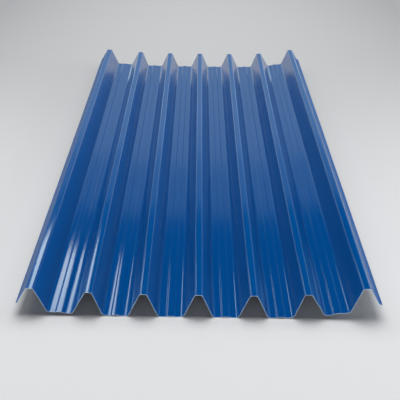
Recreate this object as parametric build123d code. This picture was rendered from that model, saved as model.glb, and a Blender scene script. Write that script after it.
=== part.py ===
from build123d import *
import os
from math import atan2, cos, degrees, hypot, radians, sin, tan

# Colour-coated trapezoidal steel roofing sheet, roll-formed from one strip of coil.
# X runs across the ribs, Y along them and Z up. The sheet lies on its middle troughs.
# Its side ribs have sprung up a little, as they do on a cut sheet that lies free.
# The origin is on the floor, under the middle of the sheet.

# Driving dimensions of the stock, in millimetres
sheet_length = 2000.0
sheet_thickness = 0.8

# Ribs, in millimetres and degrees, between the corners that the flats of the top face make
rib_pitch = 120.0
rib_depth = 54.0
crest_width = 16.0
flank_angle = 65.5
crest_bend_radius = 4.2
trough_bend_radius = 9.0

# Stiffening bead along the middle of each trough
bead_height = 1.4
bead_top_width = 15.0
bead_ramp_run = 3.0
bead_bend_radius = 3.0

# Outer ribs, which stand a little wider and taller to lap the next sheet
outer_flank_length = 62.8
outer_flank_angle = 60.5
free_flank_angle = 60.5
left_free_flank_length = 42.0
right_free_flank_length = 42.0

# Lips turned out along the two long edges
left_lip_width = 3.0
right_lip_width = 8.0
lip_angle = 22.0

# Tilt of each flat in degrees, from the middle crest outwards: trough, crest and so on
left_flat_tilts = (0.0, 0.0, 1.4, 2.9, 3.9, 2.8)
right_flat_tilts = (0.0, 0.0, 1.9, 4.6, 9.0, 3.6)

# Sizes that follow from the ones above
flank_length = rib_depth / sin(radians(flank_angle))
trough_width = rib_pitch - crest_width - 2 * rib_depth / tan(radians(flank_angle))
trough_side_width = (trough_width - bead_top_width) / 2 - bead_ramp_run
bead_ramp_length = hypot(bead_ramp_run, bead_height)
bead_ramp_angle = degrees(atan2(bead_height, bead_ramp_run))


def trough_runs(tilt):
    """Straight runs across one trough, as lengths and headings: flat, bead and flat."""
    return [
        (trough_side_width, tilt),
        (bead_ramp_length, tilt + bead_ramp_angle),
        (bead_top_width, tilt),
        (bead_ramp_length, tilt - bead_ramp_angle),
        (trough_side_width, tilt),
    ]


def half_runs(flat_tilts, free_flank_length, lip_width):
    """Straight runs of the top face from the middle crest out to one long edge."""
    runs = []
    last_tilt = 0.0
    for index, tilt in enumerate(flat_tilts):
        is_trough = index % 2 == 0
        is_outer = index == len(flat_tilts) - 1
        length = outer_flank_length if is_outer else flank_length
        angle = outer_flank_angle if is_outer else flank_angle
        # A flank turns half as far as the two flats beside it, taken together.
        swing = (last_tilt + tilt) / 2
        runs.append((length, swing - angle if is_trough else swing + angle))
        runs += trough_runs(tilt) if is_trough else [(crest_width, tilt)]
        last_tilt = tilt
    runs.append((free_flank_length, -free_flank_angle))
    runs.append((lip_width, -lip_angle))
    return runs


def section_runs():
    """Straight runs of the whole top face, from the left long edge to the right one."""
    left = half_runs(left_flat_tilts, left_free_flank_length, left_lip_width)
    right = half_runs(right_flat_tilts, right_free_flank_length, right_lip_width)
    # Walked inwards, the left half's runs come in reverse and their slopes change sign.
    return [(length, -heading) for length, heading in reversed(left)] + [(crest_width, 0.0)] + right


def inside_radius(turn):
    """Radius on the hollow side of a bend, from how far the sheet turns there."""
    if abs(turn) < 2 * bead_ramp_angle:
        return bead_bend_radius
    return crest_bend_radius if turn < 0 else trough_bend_radius


def section_face():
    """Closed section of the sheet: top face, underside and the two long cut edges."""
    runs = section_runs()
    top = [(0.0, 0.0)]
    for length, heading in runs:
        x, z = top[-1]
        top.append((x + length * cos(radians(heading)), z + length * sin(radians(heading))))

    headings = [heading for length, heading in runs]
    before = headings[:1] + headings
    after = headings + headings[-1:]
    underside = []
    top_radii = []
    underside_radii = []
    for (x, z), heading_in, heading_out in zip(top, before, after):
        turn = heading_out - heading_in
        middle = radians((heading_in + heading_out) / 2)
        reach = sheet_thickness / cos(radians(turn / 2))
        underside.append((x + reach * sin(middle), z - reach * cos(middle)))
        # A crest is hollow below, a trough above, and a cut edge has no bend.
        radius = inside_radius(turn) if turn else 0.0
        outside = radius + sheet_thickness if turn else 0.0
        top_radii.append(outside if turn < 0 else radius)
        underside_radii.append(radius if turn < 0 else outside)

    outline = FilletPolyline(
        *top,
        *reversed(underside),
        radius=top_radii + underside_radii[::-1],
        close=True,
    )
    return Plane.XZ * make_face(outline)


def roofing_sheet():
    """The sheet at rest, with the origin under its middle."""
    sheet = extrude(section_face(), amount=sheet_length / 2, both=True)
    box = sheet.bounding_box()
    return Pos(-box.center().X, 0, -box.min.Z) * sheet


os.makedirs("parts", exist_ok=True)
export_step(roofing_sheet(), "parts/roofing_sheet.step")
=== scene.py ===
import bpy
import bmesh
from math import pi, radians
from mathutils import Euler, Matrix, Quaternion, Vector, noise
from typing import NamedTuple


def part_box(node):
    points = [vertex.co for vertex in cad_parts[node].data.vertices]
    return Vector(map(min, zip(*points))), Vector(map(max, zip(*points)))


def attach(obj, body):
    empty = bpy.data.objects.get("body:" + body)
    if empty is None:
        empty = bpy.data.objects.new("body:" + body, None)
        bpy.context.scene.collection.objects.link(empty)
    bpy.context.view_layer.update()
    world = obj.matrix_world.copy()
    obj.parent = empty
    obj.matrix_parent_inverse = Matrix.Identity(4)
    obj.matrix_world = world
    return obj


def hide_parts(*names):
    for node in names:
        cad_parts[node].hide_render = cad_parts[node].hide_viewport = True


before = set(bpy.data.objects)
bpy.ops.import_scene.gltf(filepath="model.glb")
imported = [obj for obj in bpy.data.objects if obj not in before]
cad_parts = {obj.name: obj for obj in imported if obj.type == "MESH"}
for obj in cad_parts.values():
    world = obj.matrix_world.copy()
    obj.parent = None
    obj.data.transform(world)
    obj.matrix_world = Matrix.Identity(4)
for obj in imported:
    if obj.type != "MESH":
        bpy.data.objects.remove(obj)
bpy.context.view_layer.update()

# Camera, in metres and degrees, from the perspective of the rib lines in the photograph
PHOTO_WIDTH_PX = 400
FOCAL_LENGTH_PX = 966.8
SENSOR_WIDTH_MM = 36.0
CAMERA_NEAR = 0.05
CAMERA_PLACE = (-0.0121, -2.8301, 1.0762)
CAMERA_PITCH = 23.536
CAMERA_YAW = -0.318
CAMERA_ROLL = 0.971

# Sheet mesh, in metres and degrees
STATION_STEP = 0.02
LONGEST_RUN = 0.013
MERGE_DISTANCE = 1e-6
SHARP_ANGLE = 30

# Rolling marks: how far the flats bow and the bend lines wander, in metres, and how often across
# and along the sheet. Each takes its own slice of the same noise.
BOW_HEIGHT = 0.00005
BOW_SCALE = (9.0, 4.5)
BOW_SLICE = 0.0
WANDER_WIDTH = 0.0004
WANDER_SCALE = (14.0, 9.0)
WANDER_SLICE = 7.0

# Material slots of the sheet
FACE_COAT, BACK_COAT, CUT_EDGE = range(3)

# Coatings: the two colours of their streaks, and their roughness
FACE_COLOURS = ((0.0, 0.086, 0.33), (0.0, 0.078, 0.30))
FACE_ROUGHNESS = 0.08
BACK_COLOURS = ((0.27, 0.31, 0.40), (0.23, 0.27, 0.36))
BACK_ROUGHNESS = 0.45
COAT_IOR = 1.5
# Tint of the gloss where it is looked at steeply
GLOSS_TINT = (0.45, 0.8, 1.0)
# Least and greatest roughness within the streaks, as shares of the coating's own
GLOSS_SPREAD = (0.8, 1.2)

# Roughness of the flanks and of the long edges, the same for both coatings. It is reached
# gradually, by how far the surface leans to X and by how far out it lies.
FLANK_STEEPNESS = (0.5, 0.9)
FLANK_ROUGHNESS = 0.22
LAP_EDGE_X = (0.370, 0.376)
LAP_EDGE_ROUGHNESS = 0.5

# Streaks along the sheet, and the orange peel of the coating, with their relief in metres
STREAK_SCALE = (140.0, 1.0, 140.0)
STREAK_DETAIL = 3.0
STREAK_RELIEF = 0.000008
PEEL_SCALE = 900.0
PEEL_DETAIL = 2.0
PEEL_STRENGTH = 0.05
PEEL_RELIEF = 0.0002

# Cut steel: its pale bluish colours are partly a painted highlight that shows the cut edge as a pale
# line
EDGE_AND_HIGHLIGHT_COLOURS = ((0.46, 0.62, 0.86), (0.70, 0.82, 0.96))
EDGE_METALLIC = 0.6
EDGE_ROUGHNESS = 0.45
EDGE_MARK_SCALE = 600.0
EDGE_MARK_DETAIL = 2.0

# Floor: its size, and its painted shade by how far back it is, in the middle and out at its sides
FLOOR_SIZE = 30.0
FLOOR_FRONT_Y, FLOOR_BACK_Y = -1.4, 2.6
FLOOR_SIDE_X = 1.0
FLOOR_TINT = (0.99, 1.0, 1.015)
FLOOR_MIDDLE_PAINTED_SHADES = (
    (0.0, 0.86), (0.12, 0.80), (0.26, 0.69), (0.38, 0.60), (0.49, 0.555), (0.63, 0.545), (1.0, 0.58),
)
FLOOR_SIDE_PAINTED_SHADES = (
    (0.0, 0.89), (0.12, 0.87), (0.26, 0.81), (0.38, 0.69), (0.49, 0.55), (0.63, 0.43), (1.0, 0.42),
)

# Lightness of the backdrop, where the floor passes into it and up to which height it stays pale
BACKDROP_SHADE = 0.5
BACKDROP_RADII = (2.7, 4.6)
BACKDROP_TOP = (0.14, 0.25)
WORLD_COLOUR = (0.004, 0.006, 0.010)

# Tints of the lamps, and the ways in which those face that aren't aimed at the origin
WHITE = (1.0, 1.0, 1.0)
STRIP_TINT = (1.12, 1.12, 1.05)
WING_TINT = (0.4, 0.7, 1.0)
LINE_TINT = (0.55, 0.85, 1.0)
PANEL_TINT = (1.08, 1.28, 1.25)
TO_FRONT = (0.0, -1.0, 0.0)
TO_BACK = (0.0, 1.0, 0.0)
DOWN = (0.0, 0.0, -1.0)


class Softbox(NamedTuple):
    """A rectangular lamp in metres and degrees. Its level is its brightness, whatever its size."""
    name: str
    centre: tuple
    size: tuple
    level: float
    facing: tuple | None = None
    tint: tuple = WHITE
    lean: float = 0.0


# Keys, an overhead lamp, narrow lamps behind the sheet for its glints, low panels behind it too,
# side lamps and a front fill
SOFTBOXES = (
    Softbox("middle_key", (0.0, 5.2, 6.1), (7.0, 2.2), 3.6),
    Softbox("left_key", (-4.6, 3.2, 5.0), (3.0, 2.4), 2.5),
    Softbox("right_key", (4.6, 3.2, 5.0), (3.0, 2.4), 3.0),
    Softbox("overhead", (0.0, 0.1, 4.0), (3.2, 3.2), 3.4, DOWN),
    Softbox("left_strip", (-0.69, 3.0, 2.2), (0.34, 0.6), 4.2, TO_FRONT, STRIP_TINT),
    Softbox("crest_strip", (-0.91, 3.0, 2.2), (0.12, 0.5), 4.4, TO_FRONT, STRIP_TINT),
    Softbox("left_wing", (-1.75, 3.0, 1.9), (0.3, 0.7), 4.2, TO_FRONT, WING_TINT),
    Softbox("right_wing", (1.6, 3.0, 1.9), (0.4, 0.6), 2.2, TO_FRONT, WING_TINT),
    Softbox("left_line", (-1.55, 3.0, 0.45), (0.16, 1.5), 1.7, TO_FRONT, LINE_TINT, -75.0),
    Softbox("right_line", (1.55, 3.0, 0.45), (0.16, 1.5), 1.4, TO_FRONT, LINE_TINT, 75.0),
    Softbox("right_strip", (2.8, 3.0, 0.5), (0.5, 0.5), 3.0, TO_FRONT),
    Softbox("low_panel", (0.0, 5.0, 1.0), (3.4, 2.0), 0.36, TO_FRONT, PANEL_TINT),
    Softbox("upper_panel", (0.0, 5.0, 2.25), (2.6, 0.5), 0.2, TO_FRONT, PANEL_TINT),
    Softbox("left_side", (-3.0, 0.8, 1.7), (1.6, 1.6), 1.0),
    Softbox("right_side", (4.8, 0.2, 1.35), (2.4, 1.8), 5.0),
    Softbox("front_fill", (0.0, -6.0, 0.8), (6.0, 1.2), 4.5, TO_BACK),
)


def make_camera():
    """The photograph's camera: low, looking down along the ribs with a long lens."""
    data = bpy.data.cameras.new("camera")
    data.sensor_width = SENSOR_WIDTH_MM
    data.lens = FOCAL_LENGTH_PX * SENSOR_WIDTH_MM / PHOTO_WIDTH_PX
    data.clip_start = CAMERA_NEAR
    camera = bpy.data.objects.new("camera", data)
    turn = Euler((radians(90 - CAMERA_PITCH), 0, radians(CAMERA_YAW)), "XYZ").to_matrix()
    roll = Euler((0, 0, radians(CAMERA_ROLL)), "XYZ").to_matrix()
    camera.matrix_world = (turn @ roll).to_4x4()
    camera.location = CAMERA_PLACE
    bpy.context.scene.collection.objects.link(camera)
    bpy.context.scene.camera = camera


def rim_edges(shape):
    """Edges around the front end face of a mesh."""
    front = min(vertex.co.y for vertex in shape.verts)

    def at_front(face):
        return all(abs(vertex.co.y - front) < MERGE_DISTANCE for vertex in face.verts)

    cap = {face for face in shape.faces if at_front(face)}
    return [edge for edge in shape.edges if sum(face in cap for face in edge.link_faces) == 1]


def rim_walk(rim):
    """The rim's vertices in order, from the left long edge over the weather face and back below."""
    rim_of = {}
    for edge in rim:
        for vertex in edge.verts:
            rim_of.setdefault(vertex, []).append(edge)
    start = min(rim_of, key=lambda vertex: vertex.co.x)
    walk = [start]
    edge = max(rim_of[start], key=lambda item: item.other_vert(start).co.z)
    vertex = edge.other_vert(start)
    while vertex is not start:
        walk.append(vertex)
        first, second = rim_of[vertex]
        edge = second if edge is first else first
        vertex = edge.other_vert(vertex)
    return walk


def front_outline(node):
    """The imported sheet's section at its front end, as (x, z) points in order around it."""
    shape = bmesh.new()
    shape.from_mesh(node.data)
    bmesh.ops.remove_doubles(shape, verts=shape.verts, dist=MERGE_DISTANCE)
    points = [(vertex.co.x, vertex.co.z) for vertex in rim_walk(rim_edges(shape))]
    shape.free()
    return points


def refined(points):
    """The outline with its long straight runs cut into short ones."""
    result = []
    for here, after in zip(points, points[1:] + points[:1]):
        start, end = Vector(here), Vector(after)
        parts = max(1, round((end - start).length / LONGEST_RUN))
        result += [start.lerp(end, part / parts) for part in range(parts)]
    return result


def top_normals(outline, last_top):
    """Direction out of the weather face at each point of the outline."""
    normals = []
    for index in range(len(outline)):
        before = outline[index - 1]
        after = outline[(index + 1) % len(outline)]
        along = (after - before).normalized()
        normal = Vector((-along.y, along.x))
        normals.append(normal if index <= last_top else -normal)
    return normals


def slow_noise(x, y, scale, slice_height):
    """Smooth noise over the plan of the sheet, from -1 to 1."""
    return noise.noise(Vector((x * scale[0], y * scale[1], slice_height)))


def wave(x, y, normal):
    """Shift of the sheet at a place: the flats bow and the bend lines wander a little."""
    bow = BOW_HEIGHT * (0.5 + 0.5 * slow_noise(x, y, BOW_SCALE, BOW_SLICE))
    wander = WANDER_WIDTH * slow_noise(x, y, WANDER_SCALE, WANDER_SLICE)
    return normal * bow + Vector((wander, 0.0))


def sheet_points(outline, normals, stations):
    """Points of the sheet, one ring of the outline at each station along it."""
    points = []
    for y in stations:
        for point, normal in zip(outline, normals):
            moved = point + wave(point.x, y, normal)
            points.append((moved.x, y, moved.y))
    return points


def run_slot(index, last_top, size):
    """Material slot of the run that starts at a point of the outline."""
    if index < last_top:
        return FACE_COAT
    if index in (last_top, size - 1):
        return CUT_EDGE
    return BACK_COAT


def sheet_faces(size, last_top, ring_count):
    """Faces between the rings and over the two ends, and the material slot of each."""
    faces = []
    slots = []
    for ring in range(ring_count - 1):
        here, there = ring * size, (ring + 1) * size
        for index in range(size):
            after = (index + 1) % size
            faces.append((here + index, here + after, there + after, there + index))
            slots.append(run_slot(index, last_top, size))
    faces.append(tuple(range(size))[::-1])
    faces.append(tuple(range((ring_count - 1) * size, ring_count * size)))
    slots += [CUT_EDGE, CUT_EDGE]
    return faces, slots


def make_sheet(node):
    """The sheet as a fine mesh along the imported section, gently uneven as rolled sheet is."""
    outline = refined(front_outline(node))
    last_top = max(range(len(outline)), key=lambda index: outline[index].x)
    low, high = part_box(node.name)
    count = round((high.y - low.y) / STATION_STEP)
    stations = [low.y + (high.y - low.y) * index / count for index in range(count + 1)]
    points = sheet_points(outline, top_normals(outline, last_top), stations)
    faces, slots = sheet_faces(len(outline), last_top, len(stations))

    mesh = bpy.data.meshes.new("steel_sheet")
    mesh.from_pydata(points, [], faces)
    mesh.polygons.foreach_set("material_index", slots)
    mesh.polygons.foreach_set("use_smooth", [True] * len(faces))
    mesh.set_sharp_from_angle(angle=radians(SHARP_ANGLE))
    mesh.validate()
    sheet = bpy.data.objects.new("steel_sheet", mesh)
    bpy.context.scene.collection.objects.link(sheet)
    return sheet


def new_material(name):
    """A material with an empty node tree, and that tree."""
    material = bpy.data.materials.new(name)
    material.use_nodes = True
    material.node_tree.nodes.clear()
    return material, material.node_tree


def add_node(tree, kind, inputs=None, **options):
    """A new shader node, each of its inputs set to a value or linked to another node's output."""
    node = tree.nodes.new("ShaderNode" + kind)
    for option, value in options.items():
        setattr(node, option, value)
    for name, source in (inputs or {}).items():
        if isinstance(source, bpy.types.NodeSocket):
            tree.links.new(source, node.inputs[name])
        else:
            node.inputs[name].default_value = source
    return node


def calculated(tree, operation, *values):
    """The result of a calculation on values or outputs."""
    return add_node(tree, "Math", dict(enumerate(values)), operation=operation).outputs["Value"]


def passed_share(tree, value, start, end, **options):
    """How far a value has passed from the start to the end, from zero to one."""
    ends = {"Value": value, "From Min": start, "From Max": end}
    return add_node(tree, "MapRange", ends, **options).outputs["Result"]


def mixed(tree, factor, first, second):
    """A number between two others."""
    return add_node(tree, "Mix", {"Factor": factor, "A": first, "B": second}).outputs["Result"]


def mixed_colour(tree, factor, first, second):
    """A colour between two others."""
    ends = {"Factor": factor, "A": first, "B": second}
    return add_node(tree, "Mix", ends, data_type="RGBA").outputs["Result"]


def two_tone(tree, pattern, colours):
    """A colour that follows a pattern from the first colour to the second."""
    first, second = colours
    return mixed_colour(tree, pattern, (*first, 1.0), (*second, 1.0))


def noise_pattern(tree, place, scale, detail):
    """Noise at a place, from zero to one."""
    inputs = {"Vector": place, "Scale": scale, "Detail": detail}
    return add_node(tree, "TexNoise", inputs).outputs["Fac"]


def changed_aside(tree, place, change_range, side_roughness, roughness):
    """Roughness that becomes another, left and right alike, with the X of a place or a normal."""
    split = add_node(tree, "SeparateXYZ", {"Vector": place})
    aside = calculated(tree, "ABSOLUTE", split.outputs["X"])
    return mixed(tree, passed_share(tree, aside, *change_range), roughness, side_roughness)


def coat_roughness(tree, place, streaks, roughness):
    """Roughness of a coating: uneven with the streaks, other on the flanks and the long edges."""
    smooth, rough = (roughness * part for part in GLOSS_SPREAD)
    gloss = add_node(tree, "MapRange", {"Value": streaks, "To Min": smooth, "To Max": rough})
    flanks = changed_aside(
        tree, place.outputs["Normal"], FLANK_STEEPNESS, FLANK_ROUGHNESS, gloss.outputs["Result"]
    )
    return changed_aside(
        tree, place.outputs["Object"], LAP_EDGE_X, LAP_EDGE_ROUGHNESS, flanks
    )


def coat_relief(tree, place, streaks):
    """Relief of a coating: shallow ridges along the streaks, and orange peel."""
    ridges = add_node(tree, "Bump", {"Height": streaks, "Distance": STREAK_RELIEF})
    peel = add_node(tree, "Bump", {
        "Height": noise_pattern(tree, place.outputs["Object"], PEEL_SCALE, PEEL_DETAIL),
        "Strength": PEEL_STRENGTH,
        "Distance": PEEL_RELIEF,
        "Normal": ridges.outputs["Normal"],
    })
    return peel.outputs["Normal"]


def coat_material(name, colours, roughness):
    """Coil coating: faint streaks of colour and gloss along the rolling direction, orange peel."""
    material, tree = new_material(name)
    place = add_node(tree, "TexCoord")
    drawn_out = add_node(tree, "Mapping", {"Vector": place.outputs["Object"], "Scale": STREAK_SCALE})
    streaks = noise_pattern(tree, drawn_out.outputs["Vector"], 1.0, STREAK_DETAIL)
    shader = add_node(tree, "BsdfPrincipled", {
        "Base Color": two_tone(tree, streaks, colours),
        "Roughness": coat_roughness(tree, place, streaks, roughness),
        "IOR": COAT_IOR,
        "Specular Tint": (*GLOSS_TINT, 1.0),
        "Normal": coat_relief(tree, place, streaks),
    })
    add_node(tree, "OutputMaterial", {"Surface": shader.outputs["BSDF"]})
    return material


def edge_material():
    """Cut steel with its zinc: pale bluish metal with fine shear marks; the pale blue is partly a
    painted highlight along the cut edge.
    """
    material, tree = new_material("cut_steel")
    place = add_node(tree, "TexCoord")
    marks = noise_pattern(tree, place.outputs["Object"], EDGE_MARK_SCALE, EDGE_MARK_DETAIL)
    shader = add_node(tree, "BsdfPrincipled", {
        "Base Color": two_tone(tree, marks, EDGE_AND_HIGHLIGHT_COLOURS),
        "Metallic": EDGE_METALLIC,
        "Roughness": EDGE_ROUGHNESS,
    })
    add_node(tree, "OutputMaterial", {"Surface": shader.outputs["BSDF"]})
    return material


def coat_sheet(sheet):
    """The sheet's materials, in the order of its slots."""
    sheet.data.materials.append(coat_material("blue_coating", FACE_COLOURS, FACE_ROUGHNESS))
    sheet.data.materials.append(coat_material("grey_backing_coat", BACK_COLOURS, BACK_ROUGHNESS))
    sheet.data.materials.append(edge_material())


def shade_colour(level):
    """The floor's tint at a lightness."""
    return (*(level * part for part in FLOOR_TINT), 1.0)


def shade_ramp(tree, value, stops):
    """A shade that follows a value through stops, each a position and a lightness."""
    ramp = add_node(tree, "ValToRGB", {"Fac": value})
    ramp.color_ramp.interpolation = "B_SPLINE"
    elements = ramp.color_ramp.elements
    while len(elements) < len(stops):
        elements.new(0.5)
    for element, (position, level) in zip(elements, stops):
        element.position = position
        element.color = shade_colour(level)
    return ramp.outputs["Color"]


def seen_rays(tree):
    """One for the camera's own rays and for those that gloss or glass passes on, else zero."""
    path = add_node(tree, "LightPath")
    seen = path.outputs["Is Camera Ray"]
    for kind in ("Is Glossy Ray", "Is Transmission Ray"):
        seen = calculated(tree, "MAXIMUM", seen, path.outputs[kind])
    return seen


def seen_share(tree, value, start, end):
    """How much of the backdrop is seen, as a value passes from the start to the end."""
    share = passed_share(tree, value, start, end, interpolation_type="SMOOTHSTEP")
    return calculated(tree, "MULTIPLY", share, seen_rays(tree))


def floor_colour_with_painted_shade(tree, place):
    """The floor's painted shade, changing along Y by one ramp in the middle and one at the sides."""
    split = add_node(tree, "SeparateXYZ", {"Vector": place})
    back = passed_share(tree, split.outputs["Y"], FLOOR_FRONT_Y, FLOOR_BACK_Y)
    squared = calculated(tree, "MULTIPLY", split.outputs["X"], split.outputs["X"])
    aside = passed_share(tree, squared, 0.0, FLOOR_SIDE_X**2)
    middle = shade_ramp(tree, back, FLOOR_MIDDLE_PAINTED_SHADES)
    side = shade_ramp(tree, back, FLOOR_SIDE_PAINTED_SHADES)
    return mixed_colour(tree, aside, middle, side)


def floor_material():
    """Matt pale floor with painted shade darkening it gently to the back; far out it passes into the
    backdrop.
    """
    material, tree = new_material("floor")
    place = add_node(tree, "TexCoord").outputs["Object"]
    distance = add_node(tree, "VectorMath", {"Vector": place}, operation="LENGTH")
    matt = add_node(tree, "BsdfDiffuse", {"Color": floor_colour_with_painted_shade(tree, place)})
    backdrop = add_node(tree, "Emission", {"Color": shade_colour(BACKDROP_SHADE)})
    surface = add_node(tree, "MixShader", {
        "Fac": seen_share(tree, distance.outputs["Value"], *BACKDROP_RADII),
        1: matt.outputs["BSDF"],
        2: backdrop.outputs["Emission"],
    })
    add_node(tree, "OutputMaterial", {"Surface": surface.outputs["Shader"]})
    return material


def make_floor():
    """Level floor that the sheet lies on."""
    bpy.ops.mesh.primitive_plane_add(size=FLOOR_SIZE, location=(0, 0, 0))
    floor = bpy.context.object
    floor.name = "floor"
    floor.data.materials.append(floor_material())


def make_world():
    """Dim even surroundings, and low down the pale backdrop for the camera and the gloss alone."""
    world = bpy.data.worlds.new("studio")
    bpy.context.scene.world = world
    world.use_nodes = True
    tree = world.node_tree
    place = add_node(tree, "TexCoord")
    split = add_node(tree, "SeparateXYZ", {"Vector": place.outputs["Generated"]})
    depth = calculated(tree, "MULTIPLY", split.outputs["Z"], -1.0)
    pale_height, dark_height = BACKDROP_TOP
    seen = seen_share(tree, depth, -dark_height, -pale_height)
    colour = mixed_colour(tree, seen, (*WORLD_COLOUR, 1.0), shade_colour(BACKDROP_SHADE))
    tree.links.new(colour, tree.nodes["Background"].inputs["Color"])


def make_softbox(box):
    """A softbox, aimed at the origin, under the sheet's middle, unless it faces another way."""
    data = bpy.data.lights.new(box.name, "AREA")
    data.shape = "RECTANGLE"
    data.size, data.size_y = box.size
    data.energy = box.level * pi * box.size[0] * box.size[1]
    data.color = box.tint
    light = bpy.data.objects.new(box.name, data)
    light.location = box.centre
    facing = Vector(box.facing) if box.facing else -Vector(box.centre)
    lean = Quaternion((0.0, 0.0, 1.0), radians(box.lean))
    light.rotation_euler = (facing.to_track_quat("-Z", "Y") @ lean).to_euler()
    light.visible_camera = False
    bpy.context.scene.collection.objects.link(light)


make_camera()
sheet = make_sheet(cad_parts["roofing_sheet"])
coat_sheet(sheet)
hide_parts("roofing_sheet")
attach(sheet, "root")

make_floor()
make_world()
for softbox in SOFTBOXES:
    make_softbox(softbox)

bpy.context.scene.view_settings.view_transform = "Standard"
